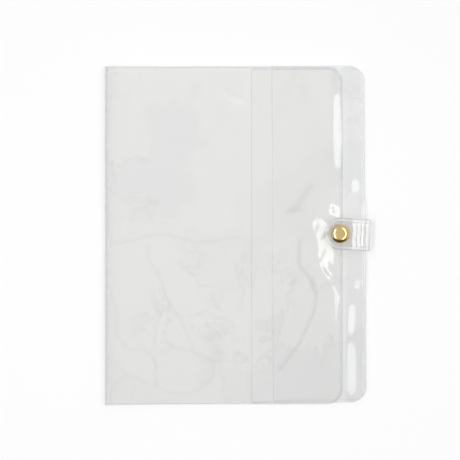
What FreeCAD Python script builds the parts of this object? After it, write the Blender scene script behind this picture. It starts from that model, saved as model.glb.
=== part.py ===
import FreeCAD, Part
import math
import os
from collections import namedtuple

import Sketcher

# A clear vinyl folio case, lying flat and snapped shut. Millimetres.
# +X runs from the spine to the fore-edge, +Y up the spine and +Z out of the resting face.
# The origin is the centre of the back cover's underside.

SIZES = {
    # Outer sheet: two covers and the fold between them. A reach is measured from the spine.
    "case_height": 222.0,
    "back_reach": 156.5,
    "front_reach": 171.4,
    "corner_radius": 10.0,
    "sheet_gauge": 0.4,
    "fold_radius": 2.6,
    # Live hinges: where a bend is split, in degrees from its straight run, and the play there.
    "split_angle": 45.0,
    "split_play": 0.45,
    # Slip pockets, welded down along three sides.
    "back_pocket_width": 59.9,
    "front_pocket_width": 61.0,
    "pocket_gauge": 0.3,
    "pocket_depth": 0.8,
    "side_seam": 3.0,
    "fore_seam": 5.5,
    # Strap: two plies from the back cover's fore-edge, round the front cover and back over it.
    "strap_width": 20.0,
    "strap_tip_radius": 9.8,
    "strap_overlap": 5.0,
    "strap_centre": 1.3,
    "ply_gauge": 0.4,
    "loop_reach": 174.6,
    # Snap: cap and socket in the strap, stud and post in the front cover.
    "snap_reach": 154.2,
    "snap_stack": 3.4,
    "hole_radius": 1.8,
    "shank_radius": 1.7,
    "rolled_radius": 2.3,
    "rolled_gauge": 0.25,
    "cap_radius": 6.25,
    "cap_rim": 0.35,
    "cap_height": 2.2,
    "cap_gauge": 0.45,
    "cap_crown_radius": 3.0,
    "cap_dish": 0.15,
    "socket_flange_radius": 5.5,
    "socket_wall_radius": 4.6,
    "socket_bore_radius": 2.65,
    "socket_web": 0.4,
    "socket_depth": 2.3,
    "groove_radius": 2.9,
    "groove_width": 0.65,
    "socket_lip": 0.2,
    "spring_radius": 2.48,
    "spring_wire_radius": 0.28,
    "spring_sweep": 330.0,
    "stud_flange_radius": 5.2,
    "stud_gauge": 0.4,
    "stud_height": 2.6,
    "stud_neck_radius": 2.05,
    "stud_head_radius": 2.4,
    "stud_head_depth": 0.6,
    "stud_chamfer": 0.25,
    "post_flange_radius": 4.9,
    "post_gauge": 0.4,
    "post_core_radius": 1.15,
    "post_core_height": 2.0,
    "core_play": 0.05,
}

# Places worked out from those sizes, as expressions for the features below.
BACK_EDGE = "(dims.back_reach / 2)"
FRONT_EDGE = "(dims.front_reach - dims.back_reach / 2)"
FOLD_X = "(dims.fold_radius - dims.back_reach / 2)"
FRONT_TOP = "(2 * dims.fold_radius)"
FRONT_UNDER = f"({FRONT_TOP} - dims.sheet_gauge)"
STRAP_LOW = "(dims.sheet_gauge + dims.pocket_gauge)"
LINING_LOW = f"({FRONT_TOP} + dims.snap_stack)"
STRAP_TOP = f"({LINING_LOW} + 2 * dims.ply_gauge)"
LOOP_RADIUS = f"(({STRAP_TOP} - {STRAP_LOW}) / 2)"
LOOP_X = f"(dims.loop_reach - dims.back_reach / 2 - {LOOP_RADIUS})"
LOOP_Z = f"(({STRAP_TOP} + {STRAP_LOW}) / 2)"
ROOT_END = f"({BACK_EDGE} - dims.strap_overlap)"
SNAP_X = "(dims.snap_reach - dims.back_reach / 2)"
TIP_X = f"({SNAP_X} - dims.strap_width / 2)"
SPLIT = "(dims.split_angle * 1 deg)"
SPLIT_CLEAR = "((dims.split_angle + dims.split_play) * 1 deg)"

LOWER, UPPER = -1, 1
TO_SPINE, TO_FORE_EDGE = -1, 1
CLOCKWISE, ANTICLOCKWISE = -1, 1
NEAR = 1e-4

# A corner of an outline: its place, and the arc that leaves it when it isn't a straight line.
Corner = namedtuple("Corner", "across up arc", defaults=[None])
# An arc: its centre, its radius and which way it turns.
Arc = namedtuple("Arc", "centre_across centre_up radius turn")
# A bend in a sheet: its centre, its outer radius and the side that it bulges towards.
Bend = namedtuple("Bend", "x z radius side")

doc = FreeCAD.newDocument("folio_case")
sheet = doc.addObject("Spreadsheet::Sheet", "dims")
for row, (alias, size) in enumerate(SIZES.items(), start=1):
    sheet.set(f"A{row}", alias)
    sheet.set(f"B{row}", str(size))
    sheet.setAlias(f"B{row}", alias)
doc.recompute()

nodes = []


def value(expression):
    """The number that an expression gives with the sheet's present cells."""
    return float(sheet.evalExpression(expression))


def new_body(label):
    """A body for one piece; its label is the node's name."""
    body = doc.addObject("PartDesign::Body", label)
    body.Label = label
    nodes.append(body)
    return body


def new_sketch(body, name, role, level=None):
    """A sketch on one of the body's origin planes, or at a level along that plane's normal."""
    sketch = body.newObject("Sketcher::SketchObject", f"{body.Label}_{name}")
    support = next(plane for plane in body.Origin.OriginFeatures if plane.Role == role)
    sketch.AttachmentSupport = (support, [""])
    sketch.MapMode = "FlatFace"
    if level:
        sketch.setExpression("AttachmentOffset.Base.z", level)
    return sketch


def pin_size(sketch, name, constraint, expression):
    """Add a constraint and drive it from an expression."""
    index = sketch.addConstraint(constraint)
    sketch.renameConstraint(index, name)
    sketch.setExpression(f"Constraints.{name}", expression)


def draw_outline(sketch, corners):
    """Draw a closed wire through the corners and drive every corner and radius from the sheet."""
    spots = [FreeCAD.Vector(value(corner.across), value(corner.up), 0) for corner in corners]
    ends = []
    for index, corner in enumerate(corners):
        start, finish = spots[index], spots[(index + 1) % len(spots)]
        if corner.arc is None:
            sketch.addGeometry(Part.LineSegment(start, finish), False)
            ends.append((1, 2))
            continue
        centre = FreeCAD.Vector(value(corner.arc.centre_across), value(corner.arc.centre_up), 0)
        forward = corner.arc.turn == ANTICLOCKWISE
        first, last = (start, finish) if forward else (finish, start)
        angles = [math.atan2(spot.y - centre.y, spot.x - centre.x) for spot in (first, last)]
        circle = Part.Circle(centre, FreeCAD.Vector(0, 0, 1), (start - centre).Length)
        sketch.addGeometry(Part.ArcOfCircle(circle, *angles), False)
        ends.append((1, 2) if forward else (2, 1))
    for index, corner in enumerate(corners):
        follower = (index + 1) % len(corners)
        joined = (index, ends[index][1], follower, ends[follower][0])
        sketch.addConstraint(Sketcher.Constraint("Coincident", *joined))
    for index, corner in enumerate(corners):
        end = (-1, 1, index, ends[index][0])
        across = Sketcher.Constraint("DistanceX", *end, spots[index].x)
        pin_size(sketch, f"across_{index}", across, corner.across)
        up = Sketcher.Constraint("DistanceY", *end, spots[index].y)
        pin_size(sketch, f"up_{index}", up, corner.up)
        if corner.arc is not None:
            radius = Sketcher.Constraint("Radius", index, value(corner.arc.radius))
            pin_size(sketch, f"radius_{index}", radius, corner.arc.radius)


def draw_rectangle(sketch, left, right, half_height):
    """A rectangle that is symmetric about the sketch's across axis."""
    low = f"(-{half_height})"
    corners = [
        Corner(left, low),
        Corner(right, low),
        Corner(right, half_height),
        Corner(left, half_height),
    ]
    draw_outline(sketch, corners)


def draw_hole(sketch, across, up, radius):
    """One circle, driven from the sheet."""
    centre = FreeCAD.Vector(value(across), value(up), 0)
    circle = Part.Circle(centre, FreeCAD.Vector(0, 0, 1), value(radius))
    sketch.addGeometry(circle, False)
    pin_size(sketch, "across", Sketcher.Constraint("DistanceX", -1, 1, 0, 3, centre.x), across)
    pin_size(sketch, "up", Sketcher.Constraint("DistanceY", -1, 1, 0, 3, centre.y), up)
    pin_size(sketch, "radius", Sketcher.Constraint("Radius", 0, value(radius)), radius)


def pad(body, sketch, length, both_ways=False, downwards=False):
    """Pad a sketch along its normal, against it, or half each way."""
    feature = body.newObject("PartDesign::Pad", f"{sketch.Name}_pad")
    feature.Profile = sketch
    feature.SideType = "Symmetric" if both_ways else "One side"
    feature.Reversed = downwards
    feature.setExpression("Length", length)
    doc.recompute()
    return feature


def pocket(body, sketch, depth=None, downwards=False):
    """Cut a sketch out of the body, to a depth or through all of it, and make sure that it cuts."""
    before = body.Shape.Volume
    feature = body.newObject("PartDesign::Pocket", f"{sketch.Name}_cut")
    feature.Profile = sketch
    if depth is None:
        feature.Type = "ThroughAll"
        feature.SideType = "Symmetric"
    else:
        feature.Reversed = not downwards
        feature.setExpression("Length", depth)
    doc.recompute()
    if body.Shape.Volume >= before - NEAR:
        raise RuntimeError(f"{feature.Name} cuts nothing")
    return feature


def round_corners(body, x, radius):
    """Round the upright edges that stand at x."""
    base = body.Tip
    names = []
    for number, edge in enumerate(base.Shape.Edges, start=1):
        ends = [vertex.Point for vertex in edge.Vertexes]
        upright = all(abs(end.x - value(x)) < NEAR for end in ends)
        if upright and abs(ends[0].y - ends[-1].y) < NEAR:
            names.append(f"Edge{number}")
    feature = body.newObject("PartDesign::Fillet", f"{base.Name}_corners")
    feature.Base = (base, names)
    feature.setExpression("Radius", radius)
    doc.recompute()
    return feature


def spin(body, corners):
    """A solid turned about the body's own upright axis."""
    sketch = new_sketch(body, "profile", "XZ_Plane")
    draw_outline(sketch, corners)
    feature = body.newObject("PartDesign::Revolution", f"{body.Label}_turn")
    feature.Profile = sketch
    feature.ReferenceAxis = (sketch, ["V_Axis"])
    doc.recompute()
    return feature


def bent_run(label, bend, level, run_end, skin, gauge, width):
    """A straight run of sheet that ends in the first part of a bend, up to the live hinge's split.

    level says whether the run lies below or above the bend's centre, and skin is how far the
    sheet's outer face lies inside the bend's outer radius.
    """
    body = new_body(label)
    outer = f"({bend.radius} - {skin})"
    inner = f"({outer} - {gauge})"

    def on_run(x, radius, arc=None):
        return Corner(x, f"({bend.z} + {level} * {radius})", arc)

    def at_split(radius, arc=None):
        across = f"({bend.x} + {bend.side} * {radius} * sin({SPLIT}))"
        return Corner(across, f"({bend.z} + {level} * {radius} * cos({SPLIT}))", arc)

    outward = -level * bend.side
    corners = [
        on_run(run_end, outer),
        on_run(bend.x, outer, Arc(bend.x, bend.z, outer, outward)),
        at_split(outer),
        at_split(inner, Arc(bend.x, bend.z, inner, -outward)),
        on_run(bend.x, inner),
        on_run(run_end, inner),
    ]
    sketch = new_sketch(body, "profile", "XZ_Plane")
    draw_outline(sketch, corners)
    pad(body, sketch, width, both_ways=True)
    return body


def bend_middle(label, bend, skin, gauge, width):
    """The middle of a bend, between the splits of its two live hinges."""
    body = new_body(label)
    outer = f"({bend.radius} - {skin})"
    inner = f"({outer} - {gauge})"

    def at_split(radius, level, arc=None):
        across = f"({bend.x} + {bend.side} * {radius} * sin({SPLIT_CLEAR}))"
        return Corner(across, f"({bend.z} + {level} * {radius} * cos({SPLIT_CLEAR}))", arc)

    corners = [
        at_split(outer, LOWER, Arc(bend.x, bend.z, outer, bend.side)),
        at_split(outer, UPPER),
        at_split(inner, UPPER, Arc(bend.x, bend.z, inner, -bend.side)),
        at_split(inner, LOWER),
    ]
    sketch = new_sketch(body, "profile", "XZ_Plane")
    draw_outline(sketch, corners)
    pad(body, sketch, width, both_ways=True)
    return body


def centre_on_strap(body):
    """Move a strap piece from the case's middle to the strap's centre line."""
    body.setExpression("Placement.Base.y", "dims.strap_centre")


def centre_on_snap(body):
    """Stand a turned snap piece on the snap's axis."""
    body.setExpression("Placement.Base.x", SNAP_X)
    body.setExpression("Placement.Base.y", "dims.strap_centre")


def make_covers():
    """The outer sheet: back panel, spine fold and front panel."""
    fold = Bend(FOLD_X, "dims.fold_radius", "dims.fold_radius", TO_SPINE)
    sizes = ("0", "dims.sheet_gauge", "dims.case_height")
    back = bent_run("back_cover_panel", fold, LOWER, BACK_EDGE, *sizes)
    round_corners(back, BACK_EDGE, "dims.corner_radius")
    bend_middle("spine_fold", fold, *sizes)
    front = bent_run("front_cover_panel", fold, UPPER, FRONT_EDGE, *sizes)
    round_corners(front, FRONT_EDGE, "dims.corner_radius")
    hole = new_sketch(front, "post_hole", "XY_Plane")
    draw_hole(hole, SNAP_X, "dims.strap_centre", "dims.hole_radius")
    pocket(front, hole)


def make_slip_pocket(label, width, fore_edge, level, downwards):
    """A shallow tray on the inside of a cover: flat seams on three sides and an open mouth."""
    body = new_body(label)
    mouth = f"({fore_edge} - {width})"
    seam_end = f"({fore_edge} - dims.fore_seam)"
    half_height = "(dims.case_height / 2)"
    half_tray = f"({half_height} - dims.side_seam)"

    seams = new_sketch(body, "seams", "XY_Plane", level)
    draw_rectangle(seams, mouth, fore_edge, half_height)
    pad(body, seams, "dims.pocket_gauge", downwards=downwards)
    round_corners(body, fore_edge, "dims.corner_radius")

    tray = new_sketch(body, "tray", "XY_Plane", level)
    draw_rectangle(tray, mouth, seam_end, half_tray)
    pad(body, tray, "dims.pocket_depth + dims.pocket_gauge", downwards=downwards)

    hollow = new_sketch(body, "hollow", "XY_Plane", level)
    hollow_end = f"({seam_end} - dims.pocket_gauge)"
    draw_rectangle(hollow, mouth, hollow_end, f"({half_tray} - dims.pocket_gauge)")
    pocket(body, hollow, "dims.pocket_depth", downwards=downwards)


def make_strap():
    """Both plies of the strap: the welded root, the loop and the tab that carries the snap."""
    loop = Bend(LOOP_X, LOOP_Z, LOOP_RADIUS, TO_FORE_EDGE)
    for ply, skin in (("face", "0"), ("lining", "dims.ply_gauge")):
        sizes = (skin, "dims.ply_gauge", "dims.strap_width")
        root = bent_run(f"strap_root_{ply}", loop, LOWER, ROOT_END, *sizes)
        middle = bend_middle(f"strap_loop_{ply}", loop, *sizes)
        tab = bent_run(f"strap_tab_{ply}", loop, UPPER, TIP_X, *sizes)
        round_corners(tab, TIP_X, "dims.strap_tip_radius")
        hole = new_sketch(tab, "shank_hole", "XY_Plane")
        draw_hole(hole, SNAP_X, "0", "dims.hole_radius")
        pocket(tab, hole)
        for body in (root, middle, tab):
            centre_on_strap(body)


def make_snap_cap():
    """A hollow domed cap with a dished crown, and the shank that is rolled over in the socket."""
    web_low = f"({LINING_LOW} - dims.socket_web)"
    rim_top = f"({STRAP_TOP} + dims.cap_rim)"
    crown = f"({STRAP_TOP} + dims.cap_height)"
    # The dome is an arc that leaves the crown level, and meets the rim.
    run = "(dims.cap_radius - dims.cap_crown_radius)"
    fall = "(dims.cap_height - dims.cap_rim)"
    dome = f"(({run} * {run} + {fall} * {fall}) / (2 * {fall}))"
    dome_up = f"({crown} - {dome})"
    inner_dome = f"({dome} - dims.cap_gauge)"
    inner_crown = f"({crown} - dims.cap_gauge)"
    drop = f"({STRAP_TOP} - {dome_up})"
    inner_rim = f"(dims.cap_crown_radius + sqrt({inner_dome} * {inner_dome} - {drop} * {drop}))"
    body = new_body("snap_cap")
    corners = [
        Corner("0", f"({web_low} - dims.rolled_gauge)"),
        Corner("dims.rolled_radius", f"({web_low} - dims.rolled_gauge)"),
        Corner("dims.rolled_radius", web_low),
        Corner("dims.shank_radius", web_low),
        Corner("dims.shank_radius", inner_crown),
        Corner("dims.cap_crown_radius", inner_crown,
               Arc("dims.cap_crown_radius", dome_up, inner_dome, CLOCKWISE)),
        Corner(inner_rim, STRAP_TOP),
        Corner("dims.cap_radius", STRAP_TOP),
        Corner("dims.cap_radius", rim_top,
               Arc("dims.cap_crown_radius", dome_up, dome, ANTICLOCKWISE)),
        Corner("dims.cap_crown_radius", crown),
        Corner("0", f"({crown} - dims.cap_dish)"),
    ]
    spin(body, corners)
    centre_on_snap(body)


def make_snap_socket():
    """The cup under the strap: a flange, a bore for the stud and a groove for the ring spring."""
    web_low = f"({LINING_LOW} - dims.socket_web)"
    mouth = f"({LINING_LOW} - dims.socket_depth)"
    groove_low = f"({mouth} + dims.socket_lip)"
    groove_top = f"({groove_low} + dims.groove_width)"
    body = new_body("snap_socket")
    corners = [
        Corner("dims.hole_radius", LINING_LOW),
        Corner("dims.hole_radius", web_low),
        Corner("dims.socket_bore_radius", web_low),
        Corner("dims.socket_bore_radius", groove_top),
        Corner("dims.groove_radius", groove_top),
        Corner("dims.groove_radius", groove_low),
        Corner("dims.socket_bore_radius", groove_low),
        Corner("dims.socket_bore_radius", mouth),
        Corner("dims.socket_wall_radius", mouth),
        Corner("dims.socket_wall_radius", web_low),
        Corner("dims.socket_flange_radius", web_low),
        Corner("dims.socket_flange_radius", LINING_LOW),
    ]
    spin(body, corners)
    centre_on_snap(body)


def make_snap_spring():
    """The split ring of wire in the socket's groove, which springs in below the stud's head."""
    spring = doc.addObject("Part::Torus", "snap_spring")
    spring.Label = "snap_spring"
    spring.setExpression("Radius1", "dims.spring_radius")
    spring.setExpression("Radius2", "dims.spring_wire_radius")
    spring.setExpression("Angle3", "dims.spring_sweep")
    centre_on_snap(spring)
    level = f"{LINING_LOW} - dims.socket_depth + dims.socket_lip + dims.groove_width / 2"
    spring.setExpression("Placement.Base.z", level)
    nodes.append(spring)


def make_snap_stud():
    """The hollow stud on the front cover: a flange, a neck and a head that the spring grips."""
    flange_top = f"({FRONT_TOP} + dims.stud_gauge)"
    top = f"({FRONT_TOP} + dims.stud_height)"
    head_low = f"({top} - dims.stud_head_depth)"
    bore_radius = "(dims.post_core_radius + dims.core_play)"
    bore_top = f"({FRONT_TOP} + dims.post_core_height + dims.core_play)"
    body = new_body("snap_stud")
    corners = [
        Corner(bore_radius, FRONT_TOP),
        Corner("dims.stud_flange_radius", FRONT_TOP),
        Corner("dims.stud_flange_radius", flange_top),
        Corner("dims.stud_neck_radius", flange_top),
        Corner("dims.stud_neck_radius", f"({head_low} - dims.stud_chamfer)"),
        Corner("dims.stud_head_radius", head_low),
        Corner("dims.stud_head_radius", f"({top} - dims.stud_chamfer)"),
        Corner("(dims.stud_head_radius - dims.stud_chamfer)", top),
        Corner("0", top),
        Corner("0", bore_top),
        Corner(bore_radius, bore_top),
    ]
    spin(body, corners)
    centre_on_snap(body)


def make_snap_post():
    """The post behind the stud: a flange inside the front pocket and a core up into the stud."""
    flange_low = f"({FRONT_UNDER} - dims.post_gauge)"
    core_top = f"({FRONT_TOP} + dims.post_core_height)"
    body = new_body("snap_post")
    corners = [
        Corner("0", flange_low),
        Corner("dims.post_flange_radius", flange_low),
        Corner("dims.post_flange_radius", FRONT_UNDER),
        Corner("dims.shank_radius", FRONT_UNDER),
        Corner("dims.shank_radius", FRONT_TOP),
        Corner("dims.post_core_radius", FRONT_TOP),
        Corner("dims.post_core_radius", core_top),
        Corner("0", core_top),
    ]
    spin(body, corners)
    centre_on_snap(body)


def check_model():
    """Stop before anything is written if an object failed or a piece isn't one valid solid."""
    for item in doc.Objects:
        if "Invalid" in item.State or "Error" in item.State:
            raise RuntimeError(f"{item.Label} failed to recompute")
        if item.isDerivedFrom("Sketcher::SketchObject") and not item.FullyConstrained:
            raise RuntimeError(f"{item.Label} is not fully constrained")
    for node in nodes:
        if node.Shape.isNull() or not node.Shape.isValid() or len(node.Shape.Solids) != 1:
            raise RuntimeError(f"{node.Label} is not one valid solid")


make_covers()
make_slip_pocket("back_pocket", "dims.back_pocket_width", BACK_EDGE, "dims.sheet_gauge", False)
make_slip_pocket("front_pocket", "dims.front_pocket_width", FRONT_EDGE, FRONT_UNDER, True)
make_strap()
make_snap_cap()
make_snap_socket()
make_snap_spring()
make_snap_stud()
make_snap_post()
doc.recompute()
check_model()

os.makedirs("parts", exist_ok=True)
for node in nodes:
    node.Shape.exportStep(f"parts/{node.Label}.step")
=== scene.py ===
import math

import bpy
import numpy as np
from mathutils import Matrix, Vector


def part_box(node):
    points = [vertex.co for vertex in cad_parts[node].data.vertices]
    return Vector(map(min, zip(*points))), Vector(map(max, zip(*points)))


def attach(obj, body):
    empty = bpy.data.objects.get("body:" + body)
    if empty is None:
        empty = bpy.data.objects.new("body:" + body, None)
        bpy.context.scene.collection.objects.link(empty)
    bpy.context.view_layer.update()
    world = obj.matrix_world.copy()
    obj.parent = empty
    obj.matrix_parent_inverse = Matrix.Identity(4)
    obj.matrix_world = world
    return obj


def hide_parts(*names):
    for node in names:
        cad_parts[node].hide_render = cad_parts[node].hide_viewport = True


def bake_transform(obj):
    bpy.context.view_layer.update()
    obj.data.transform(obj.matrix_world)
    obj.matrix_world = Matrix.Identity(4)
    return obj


# A clear vinyl folio case, closed by a strap with a brass snap, seen from straight above.
# Sizes are in millimetres until a mesh is made; MM turns them into metres.
MM = 0.001

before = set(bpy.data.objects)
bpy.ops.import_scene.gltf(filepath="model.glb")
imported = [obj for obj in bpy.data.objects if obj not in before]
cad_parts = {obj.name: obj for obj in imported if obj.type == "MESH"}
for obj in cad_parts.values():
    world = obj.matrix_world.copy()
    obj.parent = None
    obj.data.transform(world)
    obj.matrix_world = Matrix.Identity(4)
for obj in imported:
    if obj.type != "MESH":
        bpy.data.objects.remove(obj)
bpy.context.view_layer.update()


def box_mm(node):
    """A CAD node's lowest and highest corner, in millimetres."""
    return [Vector(corner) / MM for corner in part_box(node)]


# Places and sizes that come from the frame.
SPINE_LOW = box_mm("spine_fold")[0]
BACK_HIGH = box_mm("back_cover_panel")[1]
FRONT_HIGH = box_mm("front_cover_panel")[1]
BACK_POCKET_LOW = box_mm("back_pocket")[0]
FRONT_POCKET_LOW = box_mm("front_pocket")[0]
ROOT_LOW = box_mm("strap_root_face")[0]
LOOP_HIGH = box_mm("strap_loop_face")[1]
TAB_LOW, TAB_HIGH = box_mm("strap_tab_face")
CAP_LOW, CAP_HIGH = box_mm("snap_cap")

HALF_HEIGHT = BACK_HIGH.y
BACK_EDGE = BACK_HIGH.x
FRONT_EDGE = FRONT_HIGH.x
FRONT_TOP = FRONT_HIGH.z
GAUGE = BACK_POCKET_LOW.z
FOLD_RADIUS = FRONT_TOP / 2
FOLD_X = SPINE_LOW.x + FOLD_RADIUS
FOLD_MIDDLE = FOLD_RADIUS - GAUGE / 2
SNAP = (CAP_LOW + CAP_HIGH) / 2
STRAP_TOP = TAB_HIGH.z
STRAP_LOW = ROOT_LOW.z
STRAP_HALF_WIDTH = (TAB_HIGH.y - TAB_LOW.y) / 2
LOOP_RADIUS = (STRAP_TOP - STRAP_LOW) / 2
LOOP_X = LOOP_HIGH.x - LOOP_RADIUS
LOOP_Z = (STRAP_TOP + STRAP_LOW) / 2
# Sizes that the frame's boxes don't give.
POCKET_GAUGE = 0.3
PLY_GAUGE = 0.38
CORNER_RADIUS = 10.0

# Material slots of every sheet.
CLEAR, CUT_EDGE, WELD, GROOVE, JOIN = range(5)
# Distances in from a sheet's cut edge: the bead of the edge, the weld band, and the groove that is
# pressed beside it, with its half width and the share of the gauge that it takes.
BEAD = 0.35
WELD_IN = 1.35
GROOVE_MIDDLE = 1.55
GROOVE_IN = 1.75
GROOVE_WIDTH = 0.22
GROOVE_DEPTH = 0.5
EDGE_STEPS = (0.0, BEAD, 0.9, WELD_IN, GROOVE_MIDDLE, GROOVE_IN, 2.4, 3.4)
# The rim's middle stands out from the grid's edge by this share of the gauge.
RIM_OUT = 0.45
TINY = 1e-9
# The mesh attribute that says how much a sheet's tint is darkened, mostly painted shade at the
# front cover's creases and fold.
SHADE = "shade"


def smooth(t):
    """A smooth step from 0 to 1."""
    t = np.clip(t, 0, 1)
    return t * t * (3 - 2 * t)


def spread(low, high, step, low_edges=False, high_edges=False):
    """Places from low to high about one step apart, closer together near an edge with a weld."""
    near_low = [low + offset for offset in EDGE_STEPS] if low_edges else [low]
    near_high = [high - offset for offset in reversed(EDGE_STEPS)] if high_edges else [high]
    count = max(2, round((near_high[0] - near_low[-1]) / step))
    inside = np.linspace(near_low[-1], near_high[0], count + 1)[1:-1]
    return np.array([*near_low, *inside, *near_high])


def round_corner(across, up, edge, half, radius):
    """Pull the corners of a square grid in to a radius, so that its lines run round them."""
    a = (across - edge + radius) / radius
    b = (np.abs(up) - half + radius) / radius
    inside = (a > 0) & (b > 0)
    reach = np.maximum(a, b)
    share = np.minimum(a, b) / np.where(reach > 0, reach, 1)
    turn = np.where(b <= a, share, 2 - share) * math.pi / 4
    rounded_across = edge - radius + reach * radius * np.cos(turn)
    rounded_up = np.sign(up) * (half - radius + reach * radius * np.sin(turn))
    return np.where(inside, rounded_across, across), np.where(inside, rounded_up, up)


# ---------------------------------------------------------------- shape of the sheets

# The front cover comes down from the fold to this height over this run.
SAG_LEVEL = 2.15
SAG_RUN = 46.0
# The front cover stands in creased tents round the snap. A tent is its peak, as a share of the
# full rise, then its facets: the way each falls in degrees, its slope and where it starts. Where
# facets cross they are rounded, and shares stay between the floor and the limit so that the
# rounding's powers do too.
TENT_RISE = 2.85
TENT_ROUNDING = 0.035
TENT_LIMIT = 3.0
TENT_FLOOR = -1.0
TENTS = (
    (1.0, ((180.0, 0.22, 6.0), (192.0, 0.215, 4.9), (217.0, 0.55, 18.6), (138.0, 0.50, 12.1),
           (97.0, 0.60, 8.0), (0.0, 0.045, 6.5), (267.0, 0.13, 21.0), (60.0, 0.10, 8.0),
           (310.0, 0.06, 8.0))),
    (0.95, ((174.0, 0.322, 0.0), (0.0, 0.05, 2.6), (97.0, 0.60, 16.2), (270.0, 0.09, -7.0))),
)
# The front cover steps down off the back cover's fore-edge.
STEP_DOWN = 0.4
STEP_START = BACK_EDGE - 6.0
STEP_WIDTH = 9.0

# Creases of the front cover: places across from the spine and up from the middle, as shares of
# the cover, then the crease's height, its half width and the painted shade that it puts in the
# tint.
FRONT_CREASES = (
    # The long crease that curves down from the snap, and the dents beside it.
    (((0.748, -0.04), (0.746, -0.18), (0.795, -0.28), (0.812, -0.36), (0.800, -0.47),
      (0.745, -0.65), (0.67, -0.80)), -0.12, 1.8, 0.12),
    (((0.72, 0.15), (0.74, 0.17), (0.79, 0.28)), -0.10, 3.4, 0.09),
    (((0.70, 0.135), (0.76, 0.145)), -0.10, 1.8, 0.09),
    # Fine wrinkles where the covers cling together.
    (((0.02, -0.05), (0.10, -0.035), (0.18, 0.0), (0.255, 0.0), (0.34, -0.043), (0.425, -0.037),
      (0.51, -0.01), (0.56, -0.04), (0.63, -0.01)), 0.05, 1.4, 0.055),
    (((0.165, -0.06), (0.16, -0.12), (0.213, -0.25), (0.24, -0.38), (0.298, -0.52),
      (0.34, -0.68), (0.375, -0.755)), 0.05, 1.3, 0.055),
    (((0.02, -0.33), (0.052, -0.44), (0.044, -0.57), (0.086, -0.675), (0.154, -0.675),
      (0.196, -0.755), (0.196, -0.89)), 0.05, 1.4, 0.05),
    (((0.23, -0.42), (0.196, -0.54), (0.188, -0.675), (0.196, -0.81)), 0.04, 1.3, 0.045),
    (((0.196, -0.89), (0.255, -0.94), (0.34, -0.94), (0.41, -0.86), (0.42, -0.755),
      (0.357, -0.70), (0.255, -0.66), (0.213, -0.70)), 0.05, 1.5, 0.05),
    (((0.02, -0.94), (0.052, -0.86), (0.086, -0.82), (0.162, -0.875)), 0.04, 1.3, 0.06),
    (((0.518, -0.436), (0.535, -0.33), (0.51, -0.22), (0.50, -0.17)), 0.04, 1.5, 0.06),
    (((0.10, 0.22), (0.20, 0.19)), 0.04, 3.0, 0.06),
    # A painted lighter patch: its shade is below nothing.
    (((0.46, 0.83), (0.53, 0.78)), 0.04, 3.0, -0.06),
    (((0.41, -0.60), (0.43, -0.72), (0.38, -0.86)), 0.02, 7.0, 0.05),
    # Ridges and dimples that catch the light, along the back cover's edge and past it.
    (((0.872, 0.80), (0.874, 0.42)), 0.36, 3.4, 0.0),
    (((0.857, -0.20), (0.863, -0.30)), 0.50, 2.6, 0.0),
    (((0.873, -0.31), (0.872, -0.54)), 0.30, 3.0, 0.0),
    (((0.925, -0.68), (0.922, -0.92)), 0.95, 4.2, 0.0),
    (((0.93, -0.45), (0.928, -0.56)), 0.80, 3.6, 0.0),
    (((0.829, 0.07), (0.813, -0.01), (0.823, -0.09)), -0.12, 1.1, 0.0),
    (((0.852, -0.09), (0.836, -0.16)), -0.12, 1.0, 0.0),
    (((0.945, 0.29), (0.946, 0.28)), 0.88, 3.5, 0.0),
    (((0.950, -0.30), (0.951, -0.31)), 0.84, 3.4, 0.0),
)
# How much the front cover's tint is darkened: painted shade at the fold, then more past the back
# cover's edge, from the middle down to the bottom, and in its lower right part. The runs are what
# each comes in over.
FOLD_DIM = 0.12
FOLD_DIM_RUN = 5.0
STRIP_DIM = 0.05
STRIP_START = 0.5
STRIP_RUN = 2.0
LOW_START = 10.0
GRADE_DIM = 0.03
CORNER_DIM = 0.015
CORNER_START = (20.0, -10.0)
DIM_RUN = 60.0
# Width of a crease's painted shade, as a share of the crease's own.
DIM_SHARE = 0.7

# Creases that run out from the snap: direction in degrees, height, half width and length. Each
# starts at RAY_START, comes up over RAY_RISE and dies out after RAY_KEPT of its length.
SNAP_RAYS = (
    (97.0, 0.08, 1.8, 60.0),
    (141.0, 0.12, 1.5, 27.0),
    (163.0, -0.13, 1.4, 22.0),
    (190.0, 0.14, 1.3, 22.0),
    (207.0, -0.13, 1.4, 24.0),
    (262.0, 0.10, 1.8, 58.0),
)
RAY_START = 7.0
RAY_RISE = 5.0
RAY_KEPT = 0.4
# Slow waves of a sheet: wavelength, direction in degrees, phase and height. A sheet's own phase
# turns them by WAVE_TURN degrees for each unit.
WAVES = (
    (71.0, 20.0, 0.3, 0.10),
    (47.0, 105.0, 1.7, 0.06),
    (33.0, 62.0, 4.1, 0.035),
    (23.0, 150.0, 2.6, 0.018),
)
WAVE_TURN = 23.0
# The back cover lies almost flat: it lifts a little off the table past the fold, and its waves
# are this share of the front cover's.
BACK_LIFT = 0.16
BACK_LIFT_RUN = 25.0
BACK_WAVES = 0.5
BACK_PHASE = 2.0
# Room between a cover and its pocket: at the seam, then from the seam's width in over a run.
SEAM_GAP = 0.03
SEAM_WIDTH = 2.2
SEAM_RUN = 12.0
# The front cover's lean, and how much shorter its fore-edge is than its spine.
SKEW_LEAN = 0.0066
SKEW_SHORTER = 0.0045


def waves(x, y, phase):
    """Slow waves of a sheet that isn't quite flat."""
    total = np.zeros_like(x)
    for length, degrees, start, height in WAVES:
        turn = math.radians(degrees + WAVE_TURN * phase)
        along = x * math.cos(turn) + y * math.sin(turn)
        total += height * np.sin(2 * math.pi * along / length + start + phase)
    return total


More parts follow.
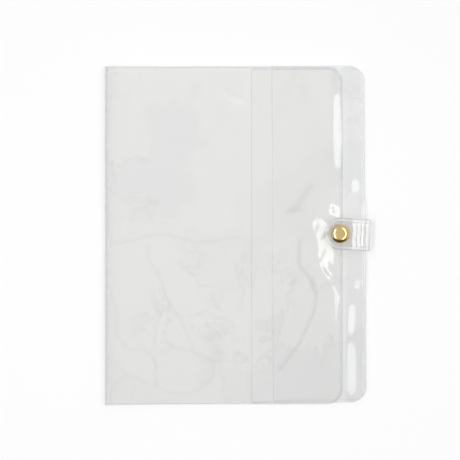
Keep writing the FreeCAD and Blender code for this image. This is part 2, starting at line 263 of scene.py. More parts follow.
def crease(x, y, places, width):
    """1 on a line of places, falling to 0 beside it."""
    nearest = np.full_like(x, np.inf)
    span = FRONT_EDGE - SPINE_LOW.x
    spots = [(SPINE_LOW.x + across * span, up * HALF_HEIGHT) for across, up in places]
    for (ax, ay), (bx, by) in zip(spots, spots[1:]):
        dx, dy = bx - ax, by - ay
        along = np.clip(((x - ax) * dx + (y - ay) * dy) / (dx * dx + dy * dy), 0, 1)
        nearest = np.minimum(nearest, np.hypot(x - ax - along * dx, y - ay - along * dy))
    return np.exp(-((nearest / width) ** 2))


def snap_creases(x, y):
    """Creases that run out from the snap, under the pull of the strap."""
    total = np.zeros_like(x)
    for degrees, height, width, length in SNAP_RAYS:
        turn = math.radians(degrees)
        along = (x - SNAP.x) * math.cos(turn) + (y - SNAP.y) * math.sin(turn)
        beside = (y - SNAP.y) * math.cos(turn) - (x - SNAP.x) * math.sin(turn)
        start = smooth((along - RAY_START) / RAY_RISE)
        end = 1 - smooth((along - RAY_KEPT * length) / ((1 - RAY_KEPT) * length))
        total += height * (start * end) * np.exp(-((beside / width) ** 2))
    return total


def back_height(x, y):
    """Height of the back cover's middle surface: almost flat on the table."""
    away = smooth((x - FOLD_X) / BACK_LIFT_RUN)
    return GAUGE / 2 + away * (BACK_LIFT + BACK_WAVES * waves(x, y, BACK_PHASE))


def smooth_most(values):
    """The greatest of some grids of values, rounded where two of them cross."""
    total = sum(np.exp(np.minimum(value, TENT_LIMIT) / TENT_ROUNDING) for value in values)
    return TENT_ROUNDING * np.log(total)


def snap_rise(x, y):
    """Share of the full rise in the tents round the snap: 1 at the snap, 0 away from it."""
    level = np.zeros_like(x)
    tents = [level]
    for peak, facets in TENTS:
        falls = [level]
        for degrees, slope, start in facets:
            turn = math.radians(degrees)
            out = (x - SNAP.x) * math.cos(turn) + (y - SNAP.y) * math.sin(turn)
            falls.append((out - start) * slope / TENT_RISE)
        tents.append(np.maximum(peak - smooth_most(falls), TENT_FLOOR))
    return np.minimum(smooth_most(tents), 1)


def front_height(x, y):
    """Height of the front cover's middle surface: it sags, and the snap and strap lift it."""
    top = FRONT_TOP - GAUGE / 2
    away = smooth((x - FOLD_X) / SAG_RUN)
    level = top + (SAG_LEVEL - top) * away
    level = level + away * waves(x, y, 0.0)
    level = level - STEP_DOWN * smooth((x - STEP_START) / STEP_WIDTH)
    for places, height, width, _ in FRONT_CREASES:
        level = level + height * crease(x, y, places, width)
    return level + (top - level) * snap_rise(x, y) + snap_creases(x, y)


def front_shade(x, y):
    """How much the front cover's tint is darkened: evenly in places, and with painted shade at its
    creases and fold.
    """
    right = smooth((x - CORNER_START[0]) / DIM_RUN)
    corner = CORNER_DIM * right * smooth((CORNER_START[1] - y) / DIM_RUN)
    fold = FOLD_DIM / 2 * (1 - smooth((x - FOLD_X) / FOLD_DIM_RUN))
    low = smooth((LOW_START - y) / DIM_RUN)
    strip = STRIP_DIM * (1 + low) * smooth((x - BACK_EDGE - STRIP_START) / STRIP_RUN)
    total = corner - GRADE_DIM * y / HALF_HEIGHT + fold + strip
    for places, _, width, dim in FRONT_CREASES:
        total = total + dim * crease(x, y, places, DIM_SHARE * width)
    return total


def no_shade(x, y):
    """A sheet with no creases that dim it."""
    return np.zeros_like(x)


def seam_gap(x, y, edge, most):
    """Room between a cover and its pocket: none at the seams, most in the middle."""
    to_edge = np.minimum(edge - x, HALF_HEIGHT - np.abs(y))
    return SEAM_GAP + most * smooth((to_edge - SEAM_WIDTH) / SEAM_RUN)


def skew(x, y):
    """The front cover lies a little askew: its fore-edge leans and sits higher than the back's."""
    share = np.clip((x - FOLD_X) / (FRONT_EDGE - FOLD_X), 0, 1)
    rise = SKEW_LEAN * (x - FOLD_X) * (share > 0)
    return x - SKEW_LEAN * y * smooth(share), y * (1 - SKEW_SHORTER * share) + rise


# ---------------------------------------------------------------- meshes


def surface_normals(points):
    """Unit normals of a grid of points."""
    along = np.gradient(points, axis=0)
    up = np.gradient(points, axis=1)
    normals = np.cross(along, up)
    return normals / np.linalg.norm(normals, axis=2, keepdims=True)


def place_mesh(name, mesh):
    """Put a finished mesh in the scene as an object."""
    mesh.validate()
    mesh.update()
    piece = bpy.data.objects.new(name, mesh)
    bpy.context.collection.objects.link(piece)
    return piece


def grid_ring(rows, columns):
    """Places round a grid's edge: row, column and which side, 0 to 3 as make_sheet counts them."""
    ring = [(row, 0, 2) for row in range(rows - 1)]
    ring += [(rows - 1, column, 1) for column in range(columns - 1)]
    ring += [(row, columns - 1, 3) for row in range(rows - 1, 0, -1)]
    ring += [(0, column, 0) for column in range(columns - 1, 0, -1)]
    return ring


def make_sheet(name, points, thickness, shade, cell_slots, side_slots, materials):
    """A closed thin sheet round a grid of middle points, with a rounded rim on all four sides.

    shade goes on the mesh as an attribute. side_slots are the rim's material slots on the grid's
    first and last row, then on its first and last column.
    """
    rows, columns, _ = points.shape
    normals = surface_normals(points)
    half = thickness[:, :, None] / 2
    top = points + normals * half
    low = points - normals * half
    vertices = [top.reshape(-1, 3), low.reshape(-1, 3)]
    count = rows * columns

    def at(layer, row, column):
        return layer * count + row * columns + column

    faces = []
    slots = []
    for row in range(rows - 1):
        for column in range(columns - 1):
            corners = ((row, column), (row + 1, column), (row + 1, column + 1), (row, column + 1))
            faces.append([at(0, *corner) for corner in corners])
            faces.append([at(1, *corner) for corner in reversed(corners)])
            slots += [int(cell_slots[row, column])] * 2

    # The rim: one row of points round the grid, pushed out to make a half-round edge.
    ring = grid_ring(rows, columns)
    rim = []
    for index, (row, column, side) in enumerate(ring):
        before = ring[index - 1]
        after = ring[(index + 1) % len(ring)]
        run = points[after[0], after[1]] - points[before[0], before[1]]
        out = np.cross(run, normals[row, column])
        out = out / max(np.linalg.norm(out), TINY)
        stand = 0 if side_slots[side] == JOIN else thickness[row, column] * RIM_OUT
        rim.append(points[row, column] + out * stand)
    vertices.append(np.array(rim))
    for index, (row, column, side) in enumerate(ring):
        after = (index + 1) % len(ring)
        next_row, next_column, _ = ring[after]
        here, there = 2 * count + index, 2 * count + after
        faces.append([at(0, row, column), here, there, at(0, next_row, next_column)])
        faces.append([here, at(1, row, column), at(1, next_row, next_column), there])
        slots += [side_slots[side]] * 2

    mesh = bpy.data.meshes.new(name)
    mesh.from_pydata((np.concatenate(vertices) * MM).tolist(), [], faces)
    for material in materials:
        mesh.materials.append(material)
    mesh.polygons.foreach_set("material_index", slots)
    mesh.polygons.foreach_set("use_smooth", [True] * len(faces))
    face_shade = shade.reshape(-1)
    rim_shade = [shade[row, column] for row, column, _ in ring]
    dimming = mesh.attributes.new(SHADE, "FLOAT", "POINT")
    dimming.data.foreach_set("value", np.concatenate([face_shade, face_shade, rim_shade]))
    return place_mesh(name, mesh)


def weld_slots(distance, welded):
    """Material slots of a sheet's cells by their distance in from the cut edge."""
    slots = np.full(distance.shape, CLEAR)
    slots[welded & (distance < GROOVE_IN)] = GROOVE
    slots[welded & (distance < WELD_IN)] = WELD
    slots[distance < BEAD] = CUT_EDGE
    return slots


def weld_thickness(gauge, distance, welded):
    """A sheet's thickness at its grid points: pressed thin along the weld's groove."""
    pressed = np.exp(-(((distance - GROOVE_MIDDLE) / GROOVE_WIDTH) ** 2))
    return gauge * (1 - GROOVE_DEPTH * pressed * welded)


def cells(values):
    """Cell averages of a grid of values."""
    return (values[1:, 1:] + values[:-1, 1:] + values[1:, :-1] + values[:-1, :-1]) / 4


# Points round half of the fold, and how far a pocket lies inside its cover's edge.
BEND_STEPS = 15
POCKET_INSET = 0.25


def cover(name, level, edge, height, shading, skewed, weld_from, step, materials):
    """One cover with its half of the spine's fold, from the middle of the spine to the fore-edge.

    level is 1 for the cover on top and -1 for the one on the table.
    """
    turn = np.linspace(0, math.pi / 2, BEND_STEPS)[:-1]
    run = spread(FOLD_X, edge, step, high_edges=True)
    up = spread(-HALF_HEIGHT, HALF_HEIGHT, step, low_edges=True, high_edges=True)
    x, y = np.meshgrid(run, up, indexing="ij")
    distance = np.minimum(edge - x, HALF_HEIGHT - np.abs(y))
    x, y = round_corner(x, y, edge, HALF_HEIGHT, CORNER_RADIUS)
    z = height(x, y)
    shade = shading(x, y)
    if skewed:
        x, y = skew(x, y)
    flat = np.stack([x, y, z], axis=2)
    bent_x, bent_y = np.meshgrid(FOLD_X - FOLD_MIDDLE * np.cos(turn), up, indexing="ij")
    bent_z = np.meshgrid(FOLD_RADIUS + level * FOLD_MIDDLE * np.sin(turn), up, indexing="ij")[0]
    points = np.concatenate([np.stack([bent_x, bent_y, bent_z], axis=2), flat])
    bend_distance = np.broadcast_to(HALF_HEIGHT - np.abs(up), (len(turn), len(up)))
    distance = np.concatenate([bend_distance, distance])
    # The fold's bend carries the full painted shade of the fold.
    shade = np.concatenate([np.full((len(turn), len(up)), FOLD_DIM), shade])
    welded = points[:, :, 0] > weld_from
    if level > 0:
        points, distance = points[:, ::-1], distance[:, ::-1]
        welded, shade = welded[:, ::-1], shade[:, ::-1]
    thickness = weld_thickness(GAUGE, distance, welded)
    slots = weld_slots(cells(distance), cells(welded.astype(float)) > 0.5)
    sides = (JOIN, CUT_EDGE, CUT_EDGE, CUT_EDGE)
    return make_sheet(name, points, thickness, shade, slots, sides, materials)


def slip_pocket(name, mouth, edge, height, offset, gap, skewed, step, materials):
    """A pocket sheet on the inside of a cover, welded along three sides and open at its mouth.

    offset is 1 for a pocket above its cover and -1 for one below it.
    """
    half = HALF_HEIGHT - POCKET_INSET
    far = edge - POCKET_INSET
    run = spread(mouth, far, step, high_edges=True)
    run = np.insert(run, 1, mouth + BEAD)
    up = spread(-half, half, step, low_edges=True, high_edges=True)
    x, y = np.meshgrid(run, up, indexing="ij")
    distance = np.minimum(far - x, half - np.abs(y))
    x, y = round_corner(x, y, far, half, CORNER_RADIUS - POCKET_INSET)
    z = height(x, y) + offset * ((GAUGE + POCKET_GAUGE) / 2 + seam_gap(x, y, edge, gap))
    if skewed:
        x, y = skew(x, y)
    points = np.stack([x, y, z], axis=2)
    thickness = weld_thickness(POCKET_GAUGE, distance, np.ones_like(distance))
    middle = cells(distance)
    slots = weld_slots(middle, middle > 0)
    slots[0] = CUT_EDGE
    sides = (CUT_EDGE,) * 4
    shade = np.zeros_like(distance)
    return make_sheet(name, points, thickness, shade, slots, sides, materials)


STRAP_TILT = math.radians(-3.5)
# Distances in from the strap's cut edge, as for a sheet.
STRAP_BEAD = 0.3
STRAP_WELD_IN = 1.9
STRAP_GROOVE_MIDDLE = 2.3
STRAP_GROOVE_IN = 2.7
STRAP_GROOVE_WIDTH = 0.3
STRAP_GROOVE_DEPTH = 0.45
STRAP_STEPS = (0.0, STRAP_BEAD, 1.2, STRAP_WELD_IN, STRAP_GROOVE_MIDDLE, STRAP_GROOVE_IN, 3.6)
# The strap's flat run has this many places up to END_RUN from its end, and the middle of its
# width has these.
RUN_STEPS = 52
END_RUN = 4.0
MIDDLE_PLACES = np.linspace(-6, 6, 9)
# The loop's bend: 1 is round, less is flatter with tighter turns.
LOOP_ROUNDNESS = 0.5
LOOP_STEPS = 17
# The end's corners are a little tighter than the strap's half width.
END_ROUNDNESS = 0.985
# Beside the cap the strap falls in two steps and climbs back, each (start, length) along it. The
# dip varies a little across the strap.
DIP_START = 7.9
DIP_SLOPE = 0.14
DIP_STEPS = ((0.0, 2.6), (3.2, 2.4))
DIP_CLIMB = (5.8, 2.4)
DIP_LENGTH = sum(length for _, length in DIP_STEPS)
# The strap leans down from just before its loop.
LEAN_START = 0.9
LEAN_MOST = 4.2
LEAN_SLOPE = 0.085
LEAN_ROUNDING = 0.4


def strap_dip(x, y):
    """How far the strap's tab dips at places beside the cap."""
    past = x - SNAP.x - DIP_START - 0.4 * np.sin(y * 0.7 + 0.4)
    fall = sum(np.clip(past - start, 0, length) for start, length in DIP_STEPS)
    climb = np.clip((past - DIP_CLIMB[0]) / DIP_CLIMB[1], 0, 1)
    return DIP_SLOPE * (fall - DIP_LENGTH * climb) * (0.9 + 0.1 * np.sin(0.9 * y + 1.0))


def strap_part(name, level, inset, far_end, round_end, materials):
    """Half of one ply of the strap, from the middle of its loop to one end.

    level is 1 for the tab and -1 for the root; inset is how far inside the loop the ply lies.
    """
    middle = LOOP_RADIUS - PLY_GAUGE / 2 - inset
    half = STRAP_HALF_WIDTH
    near = [half - offset for offset in STRAP_STEPS]
    up = np.array(sorted({*near, *(-place for place in near), *MIDDLE_PLACES}))
    turn = np.linspace(0, math.pi / 2, LOOP_STEPS)[:-1]
    length = LOOP_X - far_end
    steps = STRAP_STEPS if round_end else STRAP_STEPS[:2]
    near_end = [length - step for step in reversed(steps)]
    run = np.array([*np.linspace(0, length - END_RUN, RUN_STEPS), *near_end])
    along, y = np.meshgrid(run, up, indexing="ij")
    distance = half - np.abs(y)
    if round_end:
        distance = np.minimum(length - along, distance)
        along, y = round_corner(along, y, length, half, half * END_ROUNDNESS)
    z = np.full_like(y, LOOP_Z + level * middle)
    if level > 0:
        z = z - strap_dip(LOOP_X - along, y)
    flat = np.stack([LOOP_X - along, y, z], axis=2)
    out = LOOP_X + middle * np.cos(turn) ** LOOP_ROUNDNESS
    rise = LOOP_Z + level * middle * np.sin(turn) ** LOOP_ROUNDNESS
    bent_x, bent_y = np.meshgrid(out, up, indexing="ij")
    bent_z = np.meshgrid(rise, up, indexing="ij")[0]
    points = np.concatenate([np.stack([bent_x, bent_y, bent_z], axis=2), flat])
    if level > 0:
        past = np.clip(points[:, :, 0] - LOOP_X + LEAN_START, 0, LEAN_MOST)
        lean = LEAN_SLOPE * past**2 / (past + LEAN_ROUNDING)
        points[:, :, 2] -= lean * np.concatenate([np.sin(turn), np.ones(len(run))])[:, None]
    bend_distance = np.broadcast_to(half - np.abs(up), (len(turn), len(up)))
    distance = np.concatenate([bend_distance, distance])
    points[:, :, 1] += SNAP.y
    # The strap is fastened a little askew, turned about the snap.
    dx = points[:, :, 0] - SNAP.x
    dy = points[:, :, 1] - SNAP.y
    points[:, :, 1] = SNAP.y + dx * math.sin(STRAP_TILT) + dy * math.cos(STRAP_TILT)
    points[:, :, 0] = SNAP.x + dx * math.cos(STRAP_TILT) - dy * math.sin(STRAP_TILT)
    if level < 0:
        points, distance = points[:, ::-1], distance[:, ::-1]
    pressed = np.exp(-(((distance - STRAP_GROOVE_MIDDLE) / STRAP_GROOVE_WIDTH) ** 2))
    thickness = PLY_GAUGE * (1 - STRAP_GROOVE_DEPTH * pressed)
    middle_distance = cells(distance)
    slots = np.full(middle_distance.shape, CLEAR)
    slots[middle_distance < STRAP_GROOVE_IN] = GROOVE
    slots[middle_distance < STRAP_WELD_IN] = WELD
    slots[middle_distance < STRAP_BEAD] = CUT_EDGE
    sides = (JOIN, CUT_EDGE, CUT_EDGE, CUT_EDGE)
    shade = np.zeros_like(distance)
    return make_sheet(name, points, thickness, shade, slots, sides, materials)


def lathe(name, outline, segments, material):
    """A smooth turned solid about the snap's axis, from an outline of (radius, height)."""
    vertices = []
    faces = []
    rings = []
    for radius, height in outline:
        if radius == 0:
            rings.append([len(vertices)])
            vertices.append((SNAP.x, SNAP.y, height))
            continue
        ring = []
        for segment in range(segments):
            turn = 2 * math.pi * segment / segments
            ring.append(len(vertices))
            spot = (SNAP.x + radius * math.cos(turn), SNAP.y + radius * math.sin(turn), height)
            vertices.append(spot)
        rings.append(ring)
    for first, second in zip(rings, rings[1:]):
        for segment in range(segments):
            after = (segment + 1) % segments
            if len(first) == 1:
                faces.append([first[0], second[after], second[segment]])
            elif len(second) == 1:
                faces.append([first[segment], first[after], second[0]])
            else:
                faces.append([first[segment], first[after], second[after], second[segment]])
    mesh = bpy.data.meshes.new(name)
    mesh.from_pydata([[place * MM for place in vertex] for vertex in vertices], [], faces)
    mesh.materials.append(material)
    mesh.polygons.foreach_set("use_smooth", [True] * len(faces))
    return place_mesh(name, mesh)


def arc(centre, radius, start, end, steps):
    """Points (radius, height) of an arc, with its angles in degrees from level."""
    turns = np.radians(np.linspace(start, end, steps))
    return [(centre[0] + radius * math.cos(t), centre[1] + radius * math.sin(t)) for t in turns]


# ---------------------------------------------------------------- materials


def new_material(name):
    """An empty node material with its output."""
    material = bpy.data.materials.new(name)
    material.use_nodes = True
    nodes = material.node_tree.nodes
    nodes.clear()
    output = nodes.new("ShaderNodeOutputMaterial")
    return material, nodes, material.node_tree.links, output


def put(nodes, kind, **values):
    """Add a node and set its inputs by name; operation and blend modes are set as attributes."""
    node = nodes.new(kind)
    for key, value in values.items():
        if hasattr(node, key):
            setattr(node, key, value)
        else:
            node.inputs[key.replace("_", " ")].default_value = value
    return node


def maths(nodes, links, operation, first, second):
    """A maths node over two values or sockets."""
    node = nodes.new("ShaderNodeMath")
    node.operation = operation
    for socket, value in zip(node.inputs, (first, second)):
        if isinstance(value, (int, float)):
            socket.default_value = value
        else:
            links.new(value, socket)
    return node.outputs[0]


def fine_bump(nodes, links, scale, strength, depth):
    """The normal of a surface with fine, uneven ripples, and the noise that makes them."""
    coordinates = nodes.new("ShaderNodeTexCoord")
    noise = put(nodes, "ShaderNodeTexNoise", Scale=scale, Detail=3.0, Roughness=0.55)
    links.new(coordinates.outputs["Object"], noise.inputs["Vector"])
    bump = put(nodes, "ShaderNodeBump", Strength=strength, Distance=depth)
    links.new(noise.outputs[0], bump.inputs["Height"])
    return bump.outputs["Normal"], noise.outputs[0]


def map_range(nodes, links, value, low, high, to_low, to_high):
    """A node that takes values from low to high to values from to_low to to_high."""
    node = nodes.new("ShaderNodeMapRange")
    limits = {"From Min": low, "From Max": high, "To Min": to_low, "To Max": to_high}
    for key, limit in limits.items():
        node.inputs[key].default_value = limit
    links.new(value, node.inputs["Value"])
    return node


# A colour Mix node's own sockets; those for plain numbers and vectors come in between.
MIX_FACTOR, MIX_A, MIX_B, MIX_RESULT = 0, 6, 7, 2
# Patches where the covers cling together: their tint, which part of the cells has it, how many
# cells there are to a metre, and how far the cells' borders wander.
PATCH_TINT = (0.9880, 0.9886, 0.9925)
PATCHED_CELLS = (0.45, 0.95)
CELL_SCALE = 23.0
WANDER_SCALE = 45.0
WANDER_REACH = 0.06
# Painted shade along fine creases on the cells' borders: the most that it dims, its half width as
# a share of a cell, and the broad parts that it is strong in, with what is left of it elsewhere.
BORDER_DIM = 0.022
BORDER_WIDTH = 0.03
BROAD_SCALE = 9.0
BROAD_PARTS = (0.46, 0.56)
BORDER_LEAST = 0.1


def clinging(nodes, links, through, kept, tint):
    """Tint in uneven patches, with painted shade along fine creases between them, where one sheet
    clings to another.
    """
    coordinates = nodes.new("ShaderNodeTexCoord")
    wander = put(nodes, "ShaderNodeTexNoise", Scale=WANDER_SCALE, Detail=3.0, Roughness=0.6)
    links.new(coordinates.outputs["Object"], wander.inputs["Vector"])
    shift = put(nodes, "ShaderNodeVectorMath", operation="SCALE")
    links.new(wander.outputs["Color"], shift.inputs[0])
    shift.inputs["Scale"].default_value = WANDER_REACH
    spot = put(nodes, "ShaderNodeVectorMath", operation="ADD")
    links.new(coordinates.outputs["Object"], spot.inputs[0])
    links.new(shift.outputs[0], spot.inputs[1])
    cell = put(nodes, "ShaderNodeTexVoronoi", Scale=CELL_SCALE)
    border = put(nodes, "ShaderNodeTexVoronoi", Scale=CELL_SCALE, feature="DISTANCE_TO_EDGE")
    links.new(spot.outputs[0], cell.inputs["Vector"])
    links.new(spot.outputs[0], border.inputs["Vector"])
    broad = put(nodes, "ShaderNodeTexNoise", Scale=BROAD_SCALE, Detail=1.0)
    links.new(coordinates.outputs["Object"], broad.inputs["Vector"])

    pick = nodes.new("ShaderNodeSeparateColor")
    links.new(cell.outputs["Color"], pick.inputs[0])
    amount = map_range(nodes, links, pick.outputs[0], *PATCHED_CELLS, 0.0, 1.0)
    patch = [channel * share for channel, share in zip(through, PATCH_TINT)]
    blend = put(nodes, "ShaderNodeMix", data_type="RGBA")
    blend.inputs[MIX_A].default_value = (*through, 1)
    blend.inputs[MIX_B].default_value = (*patch, 1)
    links.new(amount.outputs[0], blend.inputs[MIX_FACTOR])

    fine = map_range(nodes, links, border.outputs["Distance"], 0.0, BORDER_WIDTH, BORDER_DIM, 0.0)
    where = map_range(nodes, links, broad.outputs[0], *BROAD_PARTS, BORDER_LEAST, 1.0)
    crease_shade = maths(nodes, links, "MULTIPLY", fine.outputs[0], where.outputs[0])
    left = maths(nodes, links, "SUBTRACT", kept, crease_shade)
    links.new(blend.outputs[MIX_RESULT], tint.inputs[0])
    links.new(left, tint.inputs["Scale"])


# The light that full painted shade takes away, and what a surface of gleam 1 mirrors when seen
# head-on.
SHADE_DEPTH = 0.25
HEAD_ON = 0.045


def vinyl(name, through, gleam, haze, haze_colour, roughness, scale=160.0, depth=0.00003,
          cling=False, edge_on=0.8):
    """Clear vinyl: light passes with a slight tint, and the surface mirrors more when edge-on."""
    material, nodes, links, output = new_material(name)
    normal, _ = fine_bump(nodes, links, scale, 0.5, depth)
    # The shade attribute darkens the tint: painted shade at the front cover's creases and fold.
    dimmed = put(nodes, "ShaderNodeAttribute", attribute_name=SHADE)
    kept = maths(nodes, links, "MULTIPLY_ADD", dimmed.outputs["Fac"], -SHADE_DEPTH)
    kept.node.inputs[2].default_value = 1.0
    tint = put(nodes, "ShaderNodeVectorMath", operation="SCALE")
    tint.inputs[0].default_value = through
    if cling:
        clinging(nodes, links, through, kept, tint)
    else:
        links.new(kept, tint.inputs["Scale"])
    clear = nodes.new("ShaderNodeBsdfTransparent")
    links.new(tint.outputs[0], clear.inputs["Color"])
    dull = put(nodes, "ShaderNodeBsdfDiffuse", Color=(*haze_colour, 1))
    body = put(nodes, "ShaderNodeMixShader", Fac=haze)
    links.new(clear.outputs[0], body.inputs[1])
    links.new(dull.outputs[0], body.inputs[2])
    facing = put(nodes, "ShaderNodeLayerWeight", Blend=0.5)
    links.new(normal, facing.inputs["Normal"])
    steep = maths(nodes, links, "POWER", facing.outputs["Facing"], 5.0)
    mirror = maths(nodes, links, "MULTIPLY_ADD", steep, edge_on)
    mirror.node.inputs[2].default_value = HEAD_ON * gleam
    gloss = put(nodes, "ShaderNodeBsdfGlossy", Roughness=roughness)
    links.new(normal, gloss.inputs["Normal"])
    both = nodes.new("ShaderNodeMixShader")
    links.new(mirror, both.inputs["Fac"])
    links.new(body.outputs[0], both.inputs[1])
    links.new(gloss.outputs[0], both.inputs[2])
    links.new(both.outputs[0], output.inputs["Surface"])
    return material


def clear_join():
    """The face where two halves of one sheet meet: it isn't seen."""
    material, nodes, links, output = new_material("sheet_join")
    clear = nodes.new("ShaderNodeBsdfTransparent")
    links.new(clear.outputs[0], output.inputs["Surface"])
    return material


# Worn metal is this much darker.
WORN = 0.9


def metal(name, colour, roughness, wear, scale):
    """Polished or drawn metal with fine wear in its roughness and colour."""
    material, nodes, links, output = new_material(name)
    surface = put(nodes, "ShaderNodeBsdfPrincipled", Metallic=1.0)
    normal, noise = fine_bump(nodes, links, scale, 0.25, 0.00001)
    ramp = nodes.new("ShaderNodeValToRGB")
    ramp.color_ramp.elements[0].position = 0.3
    ramp.color_ramp.elements[0].color = (*(channel * WORN for channel in colour), 1)
    ramp.color_ramp.elements[1].position = 0.7
    ramp.color_ramp.elements[1].color = (*colour, 1)
    links.new(noise, ramp.inputs["Fac"])
    links.new(ramp.outputs["Color"], surface.inputs["Base Color"])
    rough = maths(nodes, links, "MULTIPLY_ADD", noise, wear)
    rough.node.inputs[2].default_value = roughness
    links.new(rough, surface.inputs["Roughness"])
    links.new(normal, surface.inputs["Normal"])
    links.new(surface.outputs[0], output.inputs["Surface"])
    return material


# A cut edge or a groove mirrors less than the rest of a sheet when edge-on.
NARROW_EDGE_ON = 0.25
# A cut edge's darker blue-grey tint is painted shade, for the light that the cut edge bends away.
EDGE_SHADE_TINT = (0.945, 0.957, 0.962)


def sheet_materials(name, through, gleam, haze, edge=EDGE_SHADE_TINT, groove=0.965, cling=False):
    """The five materials of one sheet: clear, cut edge, weld band, weld groove and join."""
    pressed = tuple(groove * channel for channel in through)
    return (
        vinyl(f"{name}_clear", through, gleam, haze, (0.8, 0.82, 0.83), 0.06, cling=cling),
        # The cut edge's darker tint and dark haze colour are painted shade.
        vinyl(f"{name}_cut_edge", edge, gleam, 0.05, (0.6, 0.65, 0.68), 0.2,
              edge_on=NARROW_EDGE_ON),
        vinyl(f"{name}_weld", through, gleam, haze + 0.04, (0.92, 0.93, 0.94), 0.22,
              scale=900.0, depth=0.00006),
        vinyl(f"{name}_groove", pressed, gleam, haze, (0.7, 0.72, 0.74), 0.12,
              edge_on=NARROW_EDGE_ON),
        JOIN_MATERIAL,
    )


JOIN_MATERIAL = clear_join()
front_vinyl = sheet_materials("front_vinyl", (0.9735, 0.9735, 0.9727), 0.55, 0.008, cling=True)
back_vinyl = sheet_materials("back_vinyl", (0.9860, 0.9860, 0.9820), 0.30, 0.004)
pocket_vinyl = sheet_materials("pocket_vinyl", (0.9990, 0.9990, 0.9987), 0.08, 0.001,
                               (0.990, 0.992, 0.993), 0.985)
face_vinyl = sheet_materials("face_vinyl", (0.9998, 0.9994, 0.9990), 1.0, 0.06,
                             (0.945, 0.950, 0.950), 0.975)
lining_vinyl = sheet_materials("lining_vinyl", (0.9995, 0.9990, 0.9985), 0.05, 0.0,
                               (0.985, 0.985, 0.985), 0.99)
brass = metal("polished_brass", (0.90, 0.66, 0.31), 0.10, 0.08, 700.0)
dark_brass = metal("stamped_brass", (0.76, 0.56, 0.28), 0.24, 0.12, 500.0)
steel = metal("spring_steel", (0.55, 0.55, 0.55), 0.25, 0.10, 900.0)


# ---------------------------------------------------------------- pieces

# Spacing of the sheets' grids: the front cover has the creases.
FRONT_STEP = 1.0
FRONT_POCKET_STEP = 1.8
BACK_STEP = 2.2
# Most room between a cover and its pocket.
FRONT_GAP = 0.25
BACK_GAP = 0.12
# Air between the strap's two plies.
PLY_AIR = 0.04
CAP_SEGMENTS = 128


def make_covers():
    """Both covers, each with half of the spine's fold."""
    back = cover("back_cover_sheet", -1, BACK_EDGE, back_height, no_shade, False,
                 BACK_POCKET_LOW.x, BACK_STEP, back_vinyl)
    front = cover("front_cover_sheet", 1, FRONT_EDGE, front_height, front_shade, True,
                  FRONT_POCKET_LOW.x, FRONT_STEP, front_vinyl)
    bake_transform(back)
    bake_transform(front)
    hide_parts("back_cover_panel", "spine_fold")
    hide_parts("front_cover_panel")
    return back, front


def make_pockets():
    """The slip pockets inside the covers."""
    back = slip_pocket("back_pocket_sheet", BACK_POCKET_LOW.x, BACK_EDGE, back_height, 1,
                       BACK_GAP, False, BACK_STEP, pocket_vinyl)
    front = slip_pocket("front_pocket_sheet", FRONT_POCKET_LOW.x, FRONT_EDGE, front_height, -1,
                        FRONT_GAP, True, FRONT_POCKET_STEP, pocket_vinyl)
    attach(back, "back_cover")
    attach(front, "front_cover")
    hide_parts("back_pocket")
    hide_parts("front_pocket")
    return back, front


def make_strap():
    """The strap's two plies, each in two halves that meet at the middle of the loop."""
    made = []
    for ply, inset in (("face", 0.0), ("lining", PLY_GAUGE + PLY_AIR)):
        tab_vinyl = face_vinyl if ply == "face" else lining_vinyl
        root = strap_part(f"strap_root_{ply}_ply", -1, inset, ROOT_LOW.x, False, lining_vinyl)
        tab = strap_part(f"strap_tab_{ply}_ply", 1, inset, TAB_LOW.x, True, tab_vinyl)
        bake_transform(root)
        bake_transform(tab)
        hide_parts(f"strap_root_{ply}", f"strap_loop_{ply}")
        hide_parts(f"strap_tab_{ply}")
        made += [root, tab]
    return made


def make_cap():
    """The domed cap with its dished crown, rolled rim and the shank through the strap."""
    # Heights above the strap, then radii: the outline runs from the dish over the crown and round
    # the rim, then under the dome and down the shank to its foot.
    rim, crown, dish = 0.35, 2.2, 0.05
    radius, crown_radius, dish_radius, lip, shank, foot = 6.25, 2.9, 2.1, 0.18, 1.7, 2.3
    run, fall = radius - crown_radius, crown - rim
    dome = (run * run + fall * fall) / (2 * fall)
    steep = math.degrees(math.asin(run / dome))
    foot_gauge = 0.25
    foot_top = CAP_LOW.z - STRAP_TOP + foot_gauge
    outline = [(0, crown - dish)]
    for share in (0.35, 0.7, 1.0):
        outline.append((share * dish_radius, crown - dish * (1 - 0.15 * share**2)))
    outline += [(2.35, crown - dish * 0.72), (2.6, crown - dish * 0.3)]
    outline += arc((crown_radius, crown - dome), dome, 90, 90 - steep, 18)
    outline += arc((radius - lip, rim - 0.17), lip, 20, -90, 6)
    outline += [(5.7, 0.0), (5.4, rim), (shank, 0.5), (shank, foot_top), (foot, foot_top)]
    outline += [(foot, foot_top - foot_gauge), (0, foot_top - foot_gauge)]
    placed = [(spot[0], STRAP_TOP + spot[1]) for spot in reversed(outline)]
    cap = lathe("snap_cap_dome", placed, CAP_SEGMENTS, brass)
    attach(cap, "strap_tab")
    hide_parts("snap_cap")
    return cap


def dress_nodes():
    """Materials for the snap pieces that the CAD model shows."""
    finishes = {"snap_socket": dark_brass, "snap_stud": dark_brass, "snap_post": dark_brass,
                "snap_spring": steel}
    for node, material in finishes.items():
        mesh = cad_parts[node].data
        mesh.materials.clear()
        mesh.materials.append(material)


for piece in (*make_covers(), *make_pockets(), *make_strap()):
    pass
make_cap()
dress_nodes()


# ---------------------------------------------------------------- stage, light and camera

# Sizes are in metres from here on, as Blender has them; the lens and sensor are in millimetres.
# The floor is just under the case.
FLOOR_HALF = 6.0
FLOOR_Z = -0.0002
PALE = (0.93, 0.93, 0.93, 1)
# The light from all round: its least and greatest strength, and the two heights along Y of a
# direction of length 1 that it grows between.
ROUND_LIGHT = (0.05, 0.66)
FADE = (-0.8, -0.3)
EXPOSURE = -0.045
# How many clear surfaces a ray may pass, and how often it may bounce.
CLEAR_DEPTH = 64
BOUNCES = 12
VIEW_WIDTH = 0.3022
VIEW_LENS = 85.0
SENSOR = 36.0
VIEW_CENTRE = (0.0042, 0.0037, 0.003)


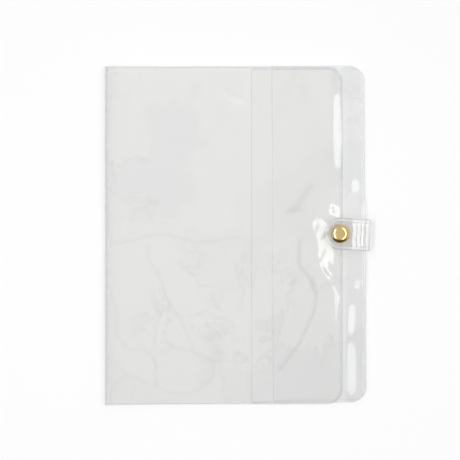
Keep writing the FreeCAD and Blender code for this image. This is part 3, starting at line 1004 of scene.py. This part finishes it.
def make_floor():
    """A plain pale floor."""
    corners = [(-1, -1), (1, -1), (1, 1), (-1, 1)]
    mesh = bpy.data.meshes.new("floor")
    spots = [(a * FLOOR_HALF, b * FLOOR_HALF, FLOOR_Z) for a, b in corners]
    mesh.from_pydata(spots, [], [(0, 1, 2, 3)])
    material, nodes, links, output = new_material("floor_white")
    surface = put(nodes, "ShaderNodeBsdfDiffuse", Color=PALE)
    links.new(surface.outputs[0], output.inputs["Surface"])
    mesh.materials.append(material)
    floor = bpy.data.objects.new("floor", mesh)
    bpy.context.collection.objects.link(floor)


def make_softbox(name, x, radiance, width, depth, height):
    """A soft panel of light that faces the case."""
    light = bpy.data.lights.new(name, "AREA")
    light.shape = "RECTANGLE"
    light.size = depth
    light.size_y = width
    light.energy = radiance * math.pi * width * depth
    panel = bpy.data.objects.new(name, light)
    panel.location = (x, 0, height)
    aim = Vector((0, 0, 0)) - panel.location
    panel.rotation_euler = aim.to_track_quat("-Z", "Y").to_euler()
    bpy.context.collection.objects.link(panel)


def make_world():
    """Even light from all round, dim towards -Y, and pale where the camera sees it."""
    world = bpy.data.worlds.new("studio")
    bpy.context.scene.world = world
    world.use_nodes = True
    nodes, links = world.node_tree.nodes, world.node_tree.links
    nodes.clear()
    coordinates = nodes.new("ShaderNodeTexCoord")
    axes = nodes.new("ShaderNodeSeparateXYZ")
    links.new(coordinates.outputs["Generated"], axes.inputs[0])
    dim = map_range(nodes, links, axes.outputs["Y"], *FADE, *ROUND_LIGHT)
    dim.interpolation_type = "SMOOTHSTEP"
    path = nodes.new("ShaderNodeLightPath")
    lit = nodes.new("ShaderNodeBackground")
    links.new(dim.outputs[0], lit.inputs["Color"])
    pale = put(nodes, "ShaderNodeBackground", Color=PALE)
    both = nodes.new("ShaderNodeMixShader")
    links.new(path.outputs["Is Camera Ray"], both.inputs["Fac"])
    links.new(lit.outputs[0], both.inputs[1])
    links.new(pale.outputs[0], both.inputs[2])
    output = nodes.new("ShaderNodeOutputWorld")
    links.new(both.outputs[0], output.inputs["Surface"])


def make_camera():
    """A camera straight above the case."""
    data = bpy.data.cameras.new("camera")
    data.lens = VIEW_LENS
    data.sensor_width = SENSOR
    camera = bpy.data.objects.new("camera", data)
    distance = VIEW_WIDTH * VIEW_LENS / SENSOR
    camera.location = Vector(VIEW_CENTRE) + Vector((0, 0, distance))
    bpy.context.collection.objects.link(camera)
    bpy.context.scene.camera = camera


make_floor()
make_softbox("softbox_left", x=-0.39, radiance=5.8, width=0.22, depth=1.1, height=1.0)
make_softbox("softbox_right", x=0.48, radiance=4.2, width=0.26, depth=1.1, height=1.0)
make_world()
make_camera()

scene = bpy.context.scene
scene.view_settings.view_transform = "Standard"
scene.view_settings.exposure = EXPOSURE
scene.cycles.transparent_max_bounces = CLEAR_DEPTH
scene.cycles.max_bounces = BOUNCES
